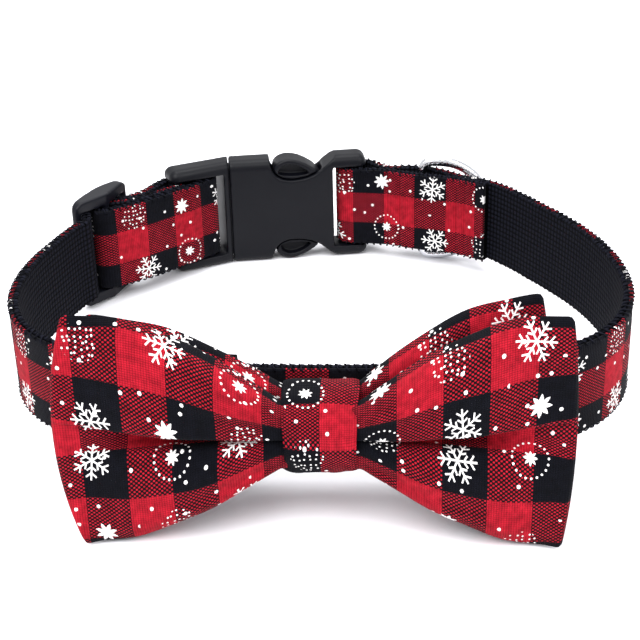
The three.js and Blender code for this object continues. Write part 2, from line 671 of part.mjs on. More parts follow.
// Assembly of the strap, in its own level frame with Z = 0 at the middle of its width
const collar = new THREE.Group();
const stations = stationsOf(strapRoute(), 10, 6.5);
collar.add(meshOf('strap_webbing',
  ribbon(stations, -strapHalf, -strapHalf + WEBBING_THICK, -STRAP_WIDTH / 2, STRAP_WIDTH / 2), webbingBlack));
collar.add(meshOf('strap_cover',
  ribbon(stations, strapHalf - COVER_THICK, strapHalf, -COVER_WIDTH / 2, COVER_WIDTH / 2), checkedCotton));

const buckle = new THREE.Group();
buckle.position.set(seamAt.x, seamAt.y, 0);
buckle.rotation.z = socketAxis.angle();
buckle.add(meshOf('buckle_socket', toGeometry(socketSolid()), blackPlastic));
let plugBend = plugAxis.angle() - socketAxis.angle();
if (plugBend < -Math.PI) plugBend += 2 * Math.PI;
buckle.add(meshOf('buckle_plug', toGeometry(plugSolid(plugBend)), blackPlastic));
collar.add(buckle);

const sliderFrame = loopFrame(SLIDER_CENTRE);
const slider = meshOf('slider', toGeometry(sliderSolid()), blackPlastic);
const sliderAt = loopPlace(SLIDER_CENTRE, SLIDER_OFFSET);
slider.position.set(sliderAt.x, sliderAt.y, 0);
slider.rotation.z = sliderFrame.along.angle();
collar.add(slider);

const ringFrame = loopFrame(RING_PLACE);
const ring = meshOf('d_ring', ringGeometry(), nickel);
const ringAt = loopPlace(...ringBar);
ring.position.set(ringAt.x, ringAt.y, 0);
ring.rotation.z = ringFrame.along.angle() + RING_REST_DEG * RAD;
collar.add(ring);

// The bow stands in front of the loop, on its elastic loops
const frontLength = (x) => {
  const { points, lengths } = loopTable;
  const nearest = (best, p, i) => (p.y < 0 && Math.abs(p.x - x) < Math.abs(points[best].x - x) ? i : best);
  return lengths[points.reduce(nearest, Math.floor(LOOP_STEPS / 2))];
};
const knotBack = loopPlace(frontLength(BOW_SIDE), strapHalf).y - KNOT_GAP;
const knotDepth = 2 * BOW_WAIST_THICK + 3 * CLEAR + 2 * KNOT_CLOTH;
const backBowY = -KNOT_CLOTH - CLEAR - BOW_WAIST_THICK / 2;
const frontBowY = backBowY - BOW_WAIST_THICK - CLEAR;
const bow = new THREE.Group();
const bowFront = meshOf('bow_front', bowGeometry(1, BOW_PUFF), checkedCotton);
const bowBack = meshOf('bow_back', bowGeometry(BACK_BOW_SCALE, BOW_WAIST_THICK / 2), checkedCotton);
bowFront.position.y = frontBowY;
bowBack.position.y = backBowY;
bowBack.position.z = BACK_BOW_RAISE;
bowBack.rotation.y = -BACK_BOW_ROLL_DEG * RAD;
const knotHalf = KNOT_HEIGHT / 2;
const knotInner = knotHalf - KNOT_CLOTH;
const knotShape = roundedRect(-knotDepth, -knotHalf, 0, knotHalf, KNOT_ROUND);
const knotHole = roundedRect(KNOT_CLOTH - knotDepth, -knotInner, -KNOT_CLOTH, knotInner, KNOT_ROUND - KNOT_CLOTH);
const knot = meshOf('bow_knot', bandGeometry(knotShape, knotHole, KNOT_WIDTH), checkedCotton);
knot.position.z = -BOW_SAG;
bow.add(bowFront, bowBack, knot);
bow.rotation.set(-BOW_LEAN_DEG * RAD, 0, BOW_YAW_DEG * RAD, 'ZYX');
bow.position.set(BOW_SIDE, knotBack, 0);
bow.updateMatrixWorld(true);

// An elastic loop round the strap, sewn to the back of the bow
function elasticGeometry(reach) {
  const near = -(strapHalf + ELASTIC_ROOM);
  const tall = STRAP_WIDTH / 2 + ELASTIC_ROOM;
  const lean = tall * Math.tan(BOW_LEAN_DEG * RAD);
  const far = reach - 2 * CLEAR - ELASTIC_THICK - lean;
  const t = ELASTIC_THICK;
  const outer = roundedRect(near - t, -tall - t, far + t, tall + t, t + ELASTIC_ROUND);
  return bandGeometry(outer, roundedRect(near, -tall, far, tall, ELASTIC_ROUND), ELASTIC_WIDE);
}

[['elastic_right', 1], ['elastic_left', -1]].forEach(([name, way]) => {
  const place = loopFrame(frontLength(BOW_SIDE + way * ELASTIC_PLACE));
  const local = bow.worldToLocal(new THREE.Vector3(place.origin.x, place.origin.y, 0));
  const backFlare = BOW_FLARE * BACK_BOW_SCALE ** 2;
  const back = backBowY + bowPoint(local.x / BACK_BOW_SCALE / (BOW_WIDTH / 2), 1, 0, 0, 0, backFlare)[1];
  const elastic = meshOf(name, elasticGeometry(local.y - back), elasticBlack);
  elastic.position.set(place.origin.x, place.origin.y, 0);
  elastic.rotation.z = place.along.angle();
  collar.add(elastic);
});

// Tilt the collar a little, set both groups on the floor and centre the whole
collar.rotation.x = -STRAP_TILT_DEG * RAD;
const boxOf = (object) => new THREE.Box3().setFromObject(object, true);
[collar, bow].forEach((group) => {
  group.position.z -= boxOf(group).min.z;
});
const whole = new THREE.Group();
whole.add(collar, bow);
const middle = boxOf(whole).getCenter(new THREE.Vector3());
whole.position.set(-middle.x, -middle.y, 0);
export default whole;
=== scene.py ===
"""Pet bow tie collar built round its fixed CAD frame.

Lengths are in metres, and MM turns millimetres into them.
"""

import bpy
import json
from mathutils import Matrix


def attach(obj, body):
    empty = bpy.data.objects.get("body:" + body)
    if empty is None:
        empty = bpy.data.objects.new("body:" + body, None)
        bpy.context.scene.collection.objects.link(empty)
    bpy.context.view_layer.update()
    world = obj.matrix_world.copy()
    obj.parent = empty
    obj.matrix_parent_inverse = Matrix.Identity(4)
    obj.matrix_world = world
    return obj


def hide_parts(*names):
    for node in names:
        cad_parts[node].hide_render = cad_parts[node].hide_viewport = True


bl_info = {
    "name": "Pet Bow Tie Collar",
    "version": (1, 0, 0),
    "blender": (4, 5, 0),
    "location": "View3D > Sidebar > Collar",
    "description": "Checked strap, side-release buckle, slider, ring and double bow of a pet collar",
    "category": "Add Mesh",
}

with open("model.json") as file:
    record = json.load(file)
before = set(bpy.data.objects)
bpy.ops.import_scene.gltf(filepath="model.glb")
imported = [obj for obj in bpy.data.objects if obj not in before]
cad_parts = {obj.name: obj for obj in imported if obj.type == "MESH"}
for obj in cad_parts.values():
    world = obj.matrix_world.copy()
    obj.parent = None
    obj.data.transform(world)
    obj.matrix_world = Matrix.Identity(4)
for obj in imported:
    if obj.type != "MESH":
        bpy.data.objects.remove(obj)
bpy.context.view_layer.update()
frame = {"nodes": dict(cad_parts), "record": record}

import json
import math

import bmesh
import bpy
from bpy.props import FloatProperty, FloatVectorProperty, PointerProperty
from mathutils import Matrix, Vector, noise

MM = 0.001
SENSOR_MM = 36.0


def hex_colour(code):
    """An sRGB hex colour as linear RGBA."""
    parts = [int(code[i:i + 2], 16) / 255 for i in (1, 3, 5)]
    return tuple(c / 12.92 if c <= 0.04045 else ((c + 0.055) / 1.055) ** 2.4 for c in parts) + (1.0,)


def length_prop(name, description, default):
    """A length in metres."""
    return FloatProperty(name=name, description=description, default=default,
                         subtype="DISTANCE", unit="LENGTH")


def colour_prop(name, description, code):
    """A colour given as sRGB hex."""
    return FloatVectorProperty(
        name=name, description=description, default=hex_colour(code), subtype="COLOR", size=4, min=0, max=1
    )


class CollarCloth(bpy.types.PropertyGroup):
    """Sizes and colours of the checked cotton"""

    check: length_prop("Check", "Side of one check", 9.8 * MM)
    warp: length_prop("Warp pitch", "Distance between neighbouring yarns along the cloth", 0.56 * MM)
    weft: length_prop("Weft pitch", "Distance between neighbouring yarns across the cloth", 0.4 * MM)
    motif_cell: length_prop("Motif spacing", "Side of the cell that holds one printed motif", 15.6 * MM)
    dot_cell: length_prop("Dot spacing", "Side of the cell that holds one printed dot", 6.2 * MM)
    red: colour_prop("Red yarn", "Dyed red cotton", "#A81828")
    black: colour_prop("Dark yarn", "Navy-black cotton", "#090A11")
    print_white: colour_prop("Print", "White pigment print", "#F6F4F2")


class CollarStrap(bpy.types.PropertyGroup):
    """Sizes and colours of the webbing strap"""

    webbing_width: length_prop("Webbing width", "Width of the woven strap", 25 * MM)
    webbing_thick: length_prop("Webbing thickness", "Thickness of the woven strap", 1.2 * MM)
    cover_width: length_prop("Cover width", "Width of the cotton cover", 24.4 * MM)
    cover_thick: length_prop("Cover thickness", "Thickness of the folded cotton cover", 1.0 * MM)
    step: length_prop("Step", "Length of one row of the strap's mesh", 0.55 * MM)
    scallop: length_prop("Edge loops", "Pitch of the loops along the woven edge", 2.1 * MM)
    rib: length_prop("Rib", "Pitch of the woven ribs", 1.45 * MM)
    colour: colour_prop("Webbing", "Black nylon webbing", "#101118")


class CollarBow(bpy.types.PropertyGroup):
    """Sizes of the double bow, all along its own axes"""

    left_reach: length_prop("Left reach", "Length of the left wing", 55.3 * MM)
    right_reach: length_prop("Right reach", "Length of the right wing", 54.2 * MM)
    left_bulge: length_prop("Left bulge", "How far the left end bulges", 4.2 * MM)
    right_bulge: length_prop("Right bulge", "How far the right end bulges", 1.9 * MM)
    held: length_prop("Held", "Half of the length gathered in the knot", 9.0 * MM)
    end_height: length_prop("End height", "Height at the ends", 58.2 * MM)
    waist_height: length_prop("Waist height", "Height in the knot", 16.4 * MM)
    waist_thick: length_prop("Waist thickness", "Depth of one bow in the knot", 7.6 * MM)
    puff: length_prop("Puff", "How far the lobes stand out", 8.2 * MM)
    flare: length_prop("Flare", "How far the ends stand forward", 9.8 * MM)
    sag: length_prop("Sag", "How far the middle hangs below the ends' middle", 5.5 * MM)
    corner: length_prop("Corner", "Rounding of the ends' corners", 1.5 * MM)
    half_cloth: length_prop("Half cloth", "Half the width of the cloth on one face", 26.7 * MM)
    check_shift: length_prop("Check shift", "Place of the check along the bow", 21.8 * MM)
    cloth_gap: length_prop("Layer gap", "Clearance between the layers in the knot", 0.3 * MM)
    knot_cloth: length_prop("Knot cloth", "Thickness of the centre strip", 1.4 * MM)
    knot_width: length_prop("Knot width", "Width of the centre strip", 16.6 * MM)
    knot_height: length_prop("Knot height", "Height of the centre strip", 20.4 * MM)
    back_scale: FloatProperty(name="Back scale", description="Size of the back bow over the front one's",
                              default=0.92)
    back_roll: FloatProperty(name="Back roll", description="Turn of the back bow", default=math.radians(3),
                             subtype="ANGLE", unit="ROTATION")
    back_raise: length_prop("Back raise", "Height of the back bow over the front one", 0.3 * MM)


class CollarHardware(bpy.types.PropertyGroup):
    """Colours of the buckle, slider and ring, and places inside the buckle"""

    plastic: colour_prop("Buckle plastic", "Black acetal", "#08090F")
    slider: colour_prop("Slider", "Black satin acetal", "#0E0F16")
    nickel: colour_prop("Ring", "Bright nickel plate", "#D9DADE")
    face_depth: length_prop("Face depth", "Half the thickness of the buckle", 4.5 * MM)
    face_along: length_prop("Face along", "Distance from the seam to the middle of the socket's face", 9 * MM)
    lip_thick: length_prop("Lip thickness", "Thickness of the lip in the seam", 6.4 * MM)
    lip_height: length_prop("Lip height", "Height of the lip in the seam", 28.6 * MM)


class CollarView(bpy.types.PropertyGroup):
    """Camera"""

    middle: length_prop("Middle", "Place of the collar's middle, from bow to buckle", 5.284 * MM)
    distance: length_prop("Distance", "Distance of the camera in front of that middle", 354.81 * MM)
    height: length_prop("Height", "Height of the camera above the floor", 203.21 * MM)
    side: length_prop("Side", "Sideways place of the camera", 0.78 * MM)
    focal: FloatProperty(name="Focal length", description="Focal length on a 36 mm sensor", default=84.6,
                         unit="CAMERA")
    pitch: FloatProperty(name="Pitch", description="Angle below the horizon", default=math.radians(28.15),
                         subtype="ANGLE", unit="ROTATION")
    yaw: FloatProperty(name="Yaw", description="Turn to the left", default=math.radians(0.142),
                       subtype="ANGLE", unit="ROTATION")
    roll: FloatProperty(name="Roll", description="Turn about the line of sight", default=math.radians(-1.592),
                        subtype="ANGLE", unit="ROTATION")


# The Mix node keeps sockets for each kind of data: the places of those for colours and for plain values
COLOUR_A = 6
COLOUR_B = 7
COLOUR_RESULT = 2
VALUE_A = 2
VALUE_B = 3


def add(tree, kind, *values, at=None, **settings):
    """Add a node. Values fill its inputs in order, and `at` names others.

    A node given as a value stands for its first output.
    """
    node = tree.nodes.new("ShaderNode" + kind)
    for name, value in settings.items():
        setattr(node, name, value)
    for key, value in list(enumerate(values)) + list((at or {}).items()):
        if isinstance(value, bpy.types.Node):
            value = value.outputs[0]
        if isinstance(value, bpy.types.NodeSocket):
            tree.links.new(value, node.inputs[key])
        else:
            node.inputs[key].default_value = value
    return node


def new_material(name):
    """A material with its Principled shader, as (material, tree, shader)."""
    material = bpy.data.materials.new(name)
    material.use_nodes = True
    return material, material.node_tree, material.node_tree.nodes["Principled BSDF"]


def check_cotton(name, cloth):
    """Yarn-dyed plain-weave cotton in a two-colour check, printed with white snow motifs.

    Matt and soft; the mixed checks show as rows of short red and black dashes. The yarns are drawn about
    twice as coarse as real ones, so that they show. The UV map is in metres of cloth.
    """
    material, tree, shader = new_material(name)
    uv = add(tree, "UVMap", uv_map="cloth")
    place = add(tree, "SeparateXYZ", uv)
    along, across = place.outputs[0], place.outputs[1]

    # The yarns: one sine per yarn both ways, whose product says which yarn is on top
    waves = []
    for axis, pitch in ((along, cloth.warp), (across, cloth.weft)):
        turn = add(tree, "Math", axis, math.pi / pitch, operation="MULTIPLY")
        waves.append(add(tree, "Math", turn, operation="SINE"))
    product = add(tree, "Math", waves[0], waves[1], operation="MULTIPLY")
    warp_up = add(tree, "MapRange", product, -0.45, 0.45, 0.0, 1.0)
    swell = add(tree, "Math", product, operation="ABSOLUTE")
    relief = add(tree, "Math", swell, 0.5, operation="POWER")

    # The check: each set of yarns changes colour once per check, and starts with red
    stripes = []
    for axis in (along, across):
        count = add(tree, "Math", axis, 1 / cloth.check, operation="MULTIPLY")
        middle = add(tree, "Math", count, 0.5, operation="ADD")
        whole = add(tree, "Math", middle, operation="FLOOR")
        stripes.append(add(tree, "Math", whole, 2.0, operation="FLOORED_MODULO"))
    top_yarn = add(tree, "Mix", warp_up, at={VALUE_A: stripes[1], VALUE_B: stripes[0]}, data_type="FLOAT")
    dark = add(tree, "MapRange", top_yarn, 0.08, 0.5, 0.0, 1.0)
    slub = add(tree, "TexNoise", uv, at={"Scale": 520.0, "Detail": 5.0})
    patch = add(tree, "TexNoise", uv, at={"Scale": 60.0, "Detail": 2.0})
    tone = add(tree, "MapRange", slub, 0.32, 0.68, 0.68, 1.22)
    shade = add(tree, "MapRange", relief, 0.0, 0.8, 0.4, 1.0)
    cast = add(tree, "MapRange", patch, 0.3, 0.7, 0.88, 1.08)
    lit = add(tree, "Math", tone, shade, operation="MULTIPLY")
    level = add(tree, "Math", lit, cast, operation="MULTIPLY")
    dyes = {COLOUR_A: tuple(cloth.red), COLOUR_B: tuple(cloth.black)}
    yarn = add(tree, "Mix", dark, at=dyes, data_type="RGBA").outputs[COLOUR_RESULT]
    cotton = add(tree, "VectorMath", yarn, operation="SCALE", at={"Scale": level})

    ink = snow_print(tree, uv, cloth)
    worn = add(tree, "MapRange", relief, 0.1, 0.45, 0.35, 1.0)
    cover = add(tree, "Math", ink, worn, operation="MULTIPLY")
    layers = {COLOUR_A: cotton, COLOUR_B: tuple(cloth.print_white)}
    base = add(tree, "Mix", cover, at=layers, data_type="RGBA")
    tree.links.new(base.outputs[COLOUR_RESULT], shader.inputs["Base Color"])
    shader.inputs["Roughness"].default_value = 0.88
    shader.inputs["Specular IOR Level"].default_value = 0.06
    shader.inputs["Sheen Weight"].default_value = 0.02
    shader.inputs["Sheen Roughness"].default_value = 0.5
    grain = add(tree, "Math", relief, add(tree, "Math", slub, 0.5, operation="MULTIPLY"), operation="ADD")
    bump = add(tree, "Bump", 0.7, 0.16 * MM, at={"Height": grain})
    tree.links.new(bump.outputs[0], shader.inputs["Normal"])
    return material


# Printed motifs, in millimetres of cloth
MOTIF_SCATTER = 0.24  # how far a motif strays from its cell's middle, as a share of the cell
FLAKE_ARMS = 6
ARM_LENGTH = 4.3
ARM_HALF_WIDTH = 0.19
TWIG_LEAN = math.radians(52)
TWIG_HALF_WIDTH = 0.18
TWIGS = ((1.4, 1.3), (2.7, 1.5))  # where a pair leaves its arm, and its length
STAR_POINTS = 8
LARGE_STAR = (2.5, 1.2)  # from the star's middle to its tips and to its notches
SMALL_STAR = (1.6, 0.75)
CLOUD_RADIUS = 3.9
SPECK_PITCH = 1.25
SPECK_SHARE = 0.19  # radius of a speck, as a share of the pitch
BEADS = 20
BEAD_RING_RADIUS = 3.9
BEAD_RADIUS = 0.26
DOT_RADIUS = 0.42
EMPTY_SHARE = 0.35  # share of the dot cells that hold no dot
KINDS_PER_ROW = 2.0  # how many kinds further on each row of motifs starts


def snow_print(tree, uv, cloth):
    """The printed motifs, one per cell of a square lattice, as a mask of white ink."""
    cells = add(tree, "VectorMath", uv, (1 / cloth.motif_cell,) * 3, operation="MULTIPLY")
    cell = add(tree, "VectorMath", cells, operation="FLOOR")
    inside = add(tree, "VectorMath", cells, operation="FRACTION")
    dice = add(tree, "TexWhiteNoise", cell, noise_dimensions="2D")
    shift = add(tree, "VectorMath", dice.outputs["Color"], (0.5, 0.5, 0.5), operation="SUBTRACT")
    nudge = add(tree, "VectorMath", shift, operation="SCALE", at={"Scale": MOTIF_SCATTER})
    centred = add(tree, "VectorMath", inside, (0.5, 0.5, 0.0), operation="SUBTRACT")
    local = add(tree, "VectorMath", centred, nudge, operation="SUBTRACT")
    in_mm = add(tree, "VectorMath", local, operation="SCALE", at={"Scale": cloth.motif_cell / MM})
    spot = add(tree, "SeparateXYZ", in_mm)
    flat = add(tree, "CombineXYZ", spot.outputs[0], spot.outputs[1], 0.0)
    radius = add(tree, "VectorMath", flat, operation="LENGTH").outputs["Value"]
    angle = add(tree, "Math", spot.outputs[1], spot.outputs[0], operation="ARCTAN2")
    spun = add(tree, "Math", angle, add(tree, "Math", dice, 6.0, operation="MULTIPLY"), operation="ADD")

    def folded(count):
        """The angle folded into one of `count` equal sectors, from 0 on its axis to half a sector."""
        sector = 2 * math.pi / count
        part = add(tree, "Math", spun, sector, operation="FLOORED_MODULO")
        centred_part = add(tree, "Math", part, sector / 2, operation="SUBTRACT")
        return add(tree, "Math", centred_part, operation="ABSOLUTE")

    # Snowflake: six arms, each with two pairs of twigs
    bend = folded(FLAKE_ARMS)
    out = add(tree, "Math", radius, add(tree, "Math", bend, operation="COSINE"), operation="MULTIPLY")
    off = add(tree, "Math", radius, add(tree, "Math", bend, operation="SINE"), operation="MULTIPLY")
    on_arm = add(tree, "Math", off, ARM_HALF_WIDTH, operation="LESS_THAN")
    in_reach = add(tree, "Math", out, ARM_LENGTH, operation="LESS_THAN")
    flake = add(tree, "Math", on_arm, in_reach, operation="MULTIPLY")
    for start, reach in TWIGS:
        past = add(tree, "Math", out, start, operation="SUBTRACT")
        rise = add(tree, "Math", past, math.sin(TWIG_LEAN), operation="MULTIPLY")
        side = add(tree, "Math", off, math.cos(TWIG_LEAN), operation="MULTIPLY")
        away = add(tree, "Math", add(tree, "Math", rise, side, operation="SUBTRACT"), operation="ABSOLUTE")
        ahead = add(tree, "Math", past, math.cos(TWIG_LEAN), operation="MULTIPLY")
        run = add(tree, "Math", ahead, add(tree, "Math", off, math.sin(TWIG_LEAN), operation="MULTIPLY"),
                  operation="ADD")
        twig = add(tree, "Math", run, 0.0, operation="GREATER_THAN")
        for value, limit in ((away, TWIG_HALF_WIDTH), (run, reach)):
            within = add(tree, "Math", value, limit, operation="LESS_THAN")
            twig = add(tree, "Math", twig, within, operation="MULTIPLY")
        flake = add(tree, "Math", flake, twig, operation="MAXIMUM")

    # Eight-pointed star, large and small
    point = folded(STAR_POINTS)
    stars = []
    for tip, notch in (LARGE_STAR, SMALL_STAR):
        rim = add(tree, "MapRange", point, 0.0, math.pi / STAR_POINTS, tip, notch)
        stars.append(add(tree, "Math", radius, rim, operation="LESS_THAN"))
    large, small = stars

    # A cloud of fine dots, and a ring of dots round the small star
    fine = add(tree, "TexVoronoi", uv, at={"Scale": 1 / (SPECK_PITCH * MM), "Randomness": 0.6},
               voronoi_dimensions="2D")
    speck = add(tree, "Math", fine.outputs["Distance"], SPECK_SHARE, operation="LESS_THAN")
    in_cloud = add(tree, "Math", radius, CLOUD_RADIUS, operation="LESS_THAN")
    cloud = add(tree, "Math", speck, in_cloud, operation="MULTIPLY")
    sweep = add(tree, "Math", folded(BEADS), BEAD_RING_RADIUS, operation="MULTIPLY")
    track = add(tree, "Math", radius, BEAD_RING_RADIUS, operation="SUBTRACT")
    gap = add(tree, "VectorMath", add(tree, "CombineXYZ", sweep, track, 0.0), operation="LENGTH")
    bead = add(tree, "Math", gap.outputs["Value"], BEAD_RADIUS, operation="LESS_THAN")
    ring = add(tree, "Math", bead, small, operation="MAXIMUM")

    # The kinds take turns along a row
    motifs = (flake, large, cloud, flake, ring)
    spots = add(tree, "SeparateXYZ", cell)
    row = add(tree, "Math", spots.outputs[1], KINDS_PER_ROW, operation="MULTIPLY")
    turn = add(tree, "Math", spots.outputs[0], row, operation="ADD")
    order = add(tree, "Math", turn, float(len(motifs)), operation="FLOORED_MODULO")
    mask = 0.0
    for kind, shape in enumerate(motifs):
        here = add(tree, "Math", order, float(kind), 0.5, operation="COMPARE")
        part = add(tree, "Math", here, shape, operation="MULTIPLY")
        mask = add(tree, "Math", mask, part, operation="MAXIMUM")

    # Single dots strewn between the motifs
    grid = add(tree, "VectorMath", uv, (1 / cloth.dot_cell,) * 3, operation="MULTIPLY")
    seat = add(tree, "VectorMath", grid, operation="FLOOR")
    throw = add(tree, "TexWhiteNoise", seat, noise_dimensions="2D")
    part_of_cell = add(tree, "VectorMath", grid, operation="FRACTION")
    home = add(tree, "VectorMath", part_of_cell, throw.outputs["Color"], operation="SUBTRACT")
    near = add(tree, "VectorMath", home, (1.0, 1.0, 0.0), operation="MULTIPLY")
    span = add(tree, "VectorMath", near, operation="LENGTH").outputs["Value"]
    dot = add(tree, "Math", span, DOT_RADIUS * MM / cloth.dot_cell, operation="LESS_THAN")
    filled = add(tree, "Math", throw, EMPTY_SHARE, operation="GREATER_THAN")
    kept = add(tree, "Math", dot, filled, operation="MULTIPLY")
    return add(tree, "Math", mask, kept, operation="MAXIMUM")


def nylon_webbing(name, strap):
    """Woven black nylon: a close grid of small rounded ribs, matt with a faint cold gloss, and with painted
    light and shade in its colour: each rib's top is painted lighter as a highlight, and the gaps between the
    ribs are painted nearly black as shade.
    """
    material, tree, shader = new_material(name)
    uv = add(tree, "UVMap", uv_map="cloth")
    place = add(tree, "SeparateXYZ", uv)
    waves = []
    for axis in place.outputs[:2]:
        turn = add(tree, "Math", axis, math.pi / strap.rib, operation="MULTIPLY")
        waves.append(add(tree, "Math", add(tree, "Math", turn, operation="SINE"), operation="ABSOLUTE"))
    knuckle = add(tree, "Math", waves[0], waves[1], operation="MULTIPLY")
    relief = add(tree, "Math", knuckle, 0.6, operation="POWER")
    fibre = add(tree, "TexNoise", uv, at={"Scale": 1400.0, "Detail": 2.0})
    # Painted light and shade: the colour is lifted on the tops of the ribs as a painted highlight and
    # darkened almost to black between them as painted shade
    level = add(tree, "MapRange", relief, 0.2, 1.0, 0.05, 1.7)
    base = add(tree, "VectorMath", tuple(strap.colour)[:3], operation="SCALE", at={"Scale": level})
    tree.links.new(base.outputs[0], shader.inputs["Base Color"])
    shader.inputs["Roughness"].default_value = 0.75
    shader.inputs["Specular IOR Level"].default_value = 0.04
    height = add(tree, "Math", relief, add(tree, "Math", fibre, 0.35, operation="MULTIPLY"), operation="ADD")
    bump = add(tree, "Bump", 1.0, 0.4 * MM, at={"Height": height})
    tree.links.new(bump.outputs[0], shader.inputs["Normal"])
    return material


def moulded_plastic(name, colour, rough):
    """Injection-moulded acetal: smooth satin, with a fine spark-eroded grain that softens its highlights."""
    material, tree, shader = new_material(name)
    place = add(tree, "TexCoord").outputs["Object"]
    grain = add(tree, "TexNoise", place, at={"Scale": 2600.0, "Detail": 2.0})
    cloud = add(tree, "TexNoise", place, at={"Scale": 90.0, "Detail": 3.0})
    shader.inputs["Base Color"].default_value = tuple(colour)
    shader.inputs["Specular IOR Level"].default_value = 0.16
    gloss = add(tree, "MapRange", cloud, 0.3, 0.7, rough - 0.05, rough + 0.07)
    tree.links.new(gloss.outputs[0], shader.inputs["Roughness"])
    bump = add(tree, "Bump", 0.12, 0.05 * MM, at={"Height": grain})
    tree.links.new(bump.outputs[0], shader.inputs["Normal"])
    return material


def nickel_plate(name, colour):
    """Bright nickel-plated steel wire: mirror-like, with duller spots that break up its reflections."""
    material, tree, shader = new_material(name)
    place = add(tree, "TexCoord").outputs["Object"]
    spots = add(tree, "TexNoise", place, at={"Scale": 300.0, "Detail": 4.0})
    shader.inputs["Base Color"].default_value = tuple(colour)
    shader.inputs["Metallic"].default_value = 1.0
    gloss = add(tree, "MapRange", spots, 0.35, 0.7, 0.1, 0.22)
    tree.links.new(gloss.outputs[0], shader.inputs["Roughness"])
    return material


COTTON = "Printed check cotton"


def shared_cotton(scene):
    """The cotton of the strap's cover, the bows and the knot, made once."""
    return bpy.data.materials.get(COTTON) or check_cotton(COTTON, scene.collar_cloth)


def finish_piece(bm, name, material, body, nodes):
    """Turn a bmesh into a named piece that rides on a body and stands for its CAD nodes."""
    mesh = bpy.data.meshes.new(name)
    bm.to_mesh(mesh)
    bm.free()
    piece = bpy.data.objects.new(name, mesh)
    bpy.context.scene.collection.objects.link(piece)
    mesh.materials.append(material)
    mesh.polygons.foreach_set("use_smooth", [True] * len(mesh.polygons))
    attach(piece, body)
    if nodes:
        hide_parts(*nodes)
    return piece


def tube_grid(rings, around, place, cloth_uv=None):
    """A closed tube of rings x around points from a grid operator, with its ends filled.

    place(i, j) gives a point of ring i, and cloth_uv(i, j) its place on the cloth.
    """
    bm = bmesh.new()
    bmesh.ops.create_grid(bm, x_segments=rings - 1, y_segments=around, size=1)
    uv_layer = bm.loops.layers.uv.new("cloth")
    spots = {}
    for vert in bm.verts:
        i = round((vert.co.x + 1) / 2 * (rings - 1))
        j = round((vert.co.y + 1) / 2 * around)
        spots[vert] = (i, j)
    if cloth_uv:
        for face in bm.faces:
            for loop in face.loops:
                loop[uv_layer].uv = cloth_uv(*spots[loop.vert])
    for vert, (i, j) in spots.items():
        vert.co = place(i, j % around)
    bmesh.ops.remove_doubles(bm, verts=bm.verts, dist=1e-7)
    rims = [edge for edge in bm.edges if edge.is_boundary]
    caps = bmesh.ops.holes_fill(bm, edges=rims, sides=0)["faces"]
    bmesh.ops.triangulate(bm, faces=caps)
    bmesh.ops.recalc_face_normals(bm, faces=bm.faces)
    return bm


def smoothstep(t):
    """A rise from 0 to 1 that starts and ends level."""
    t = min(1.0, max(0.0, t))
    return t * t * (3 - 2 * t)


def mix(a, b, t):
    """The value at share t of the way from a to b."""
    return a + (b - a) * t


INNER_CORNER_EDGES = 6  # a corner of the CAD ribbon has at least so many edges, except at the ribbon's ends
RIBBON_END = 30 * MM  # longer than a ribbon's end face, and shorter than the way to its other end
LINE_STEPS = 12


def strap_stations():
    """(centre, from webbing to cover, up) along the strap from its sewn tail, read from the CAD ribbons.

    Every ring of four corners of a ribbon is joined only to the rings before and after it.
    """
    middles = []
    for name in ("strap_webbing", "strap_cover"):
        bm = bmesh.new()
        bm.from_mesh(frame["nodes"][name].data)
        bmesh.ops.remove_doubles(bm, verts=bm.verts, dist=1e-6)
        tips = [v for v in bm.verts if len(v.link_edges) < INNER_CORNER_EDGES]
        start = max(tips, key=lambda v: v.co.x)
        ring = {v for v in tips if (v.co - start.co).length < RIBBON_END}
        seen, rings = set(), []
        while ring:
            rings.append([v.co.copy() for v in ring])
            seen |= ring
            ring = {e.other_vert(v) for v in ring for e in v.link_edges} - seen
        middles.append([sum(r, Vector()) / len(r) for r in rings])
        tall = [max(r, key=lambda c: c.z) - min(r, key=lambda c: c.z) for r in rings]
        bm.free()
    webbing, cover = middles
    up = Vector((0, sum(t.y for t in tall), sum(t.z for t in tall))).normalized()
    return [(w.lerp(c, 0.5), (c - w), up) for w, c in zip(webbing, cover)]


def smooth_line(points, per_span):
    """A centripetal Catmull-Rom line through the points."""
    line = [points[0].copy()]
    last = len(points) - 1
    for k in range(last):
        p = [points[max(0, min(last, k + d))] for d in (-1, 0, 1, 2)]
        knots = [0.0]
        for a, b in zip(p, p[1:]):
            knots.append(knots[-1] + max(1e-6, (b - a).length ** 0.5))
        for m in range(1, per_span + 1):
            t = mix(knots[1], knots[2], m / per_span)
            a = [p[i].lerp(p[i + 1], (t - knots[i]) / (knots[i + 1] - knots[i])) for i in range(3)]
            b = [a[i].lerp(a[i + 1], (t - knots[i]) / (knots[i + 2] - knots[i])) for i in range(2)]
            line.append(b[0].lerp(b[1], (t - knots[1]) / (knots[2] - knots[1])))
    return line


def resampled(stations, step):
    """Evenly spaced (length, centre, outward) along a smooth line through the stations."""
    line = smooth_line([s[0] for s in stations], LINE_STEPS)
    fine = [(0.0, line[0])]
    for point in line[1:]:
        fine.append((fine[-1][0] + (point - fine[-1][1]).length, point))
    total = fine[-1][0]
    count = round(total / step)
    up = stations[0][2]
    out, k = [], 0
    for n in range(count + 1):
        want = total * n / count
        while k < len(fine) - 2 and fine[k + 1][0] < want:
            k += 1
        share = (want - fine[k][0]) / max(1e-9, fine[k + 1][0] - fine[k][0])
        centre = fine[k][1].lerp(fine[k + 1][1], share)
        lo, hi = max(0, k - 1), min(len(fine) - 1, k + 2)
        ahead = (fine[hi][1] - fine[lo][1]).normalized()
        out.append((want, centre, up.cross(ahead).normalized()))
    # Outward is the side that the CAD cover lies on
    side = 1 if out[0][2].dot(stations[0][1]) > 0 else -1
    return [(s, c, n * side) for s, c, n in out], up


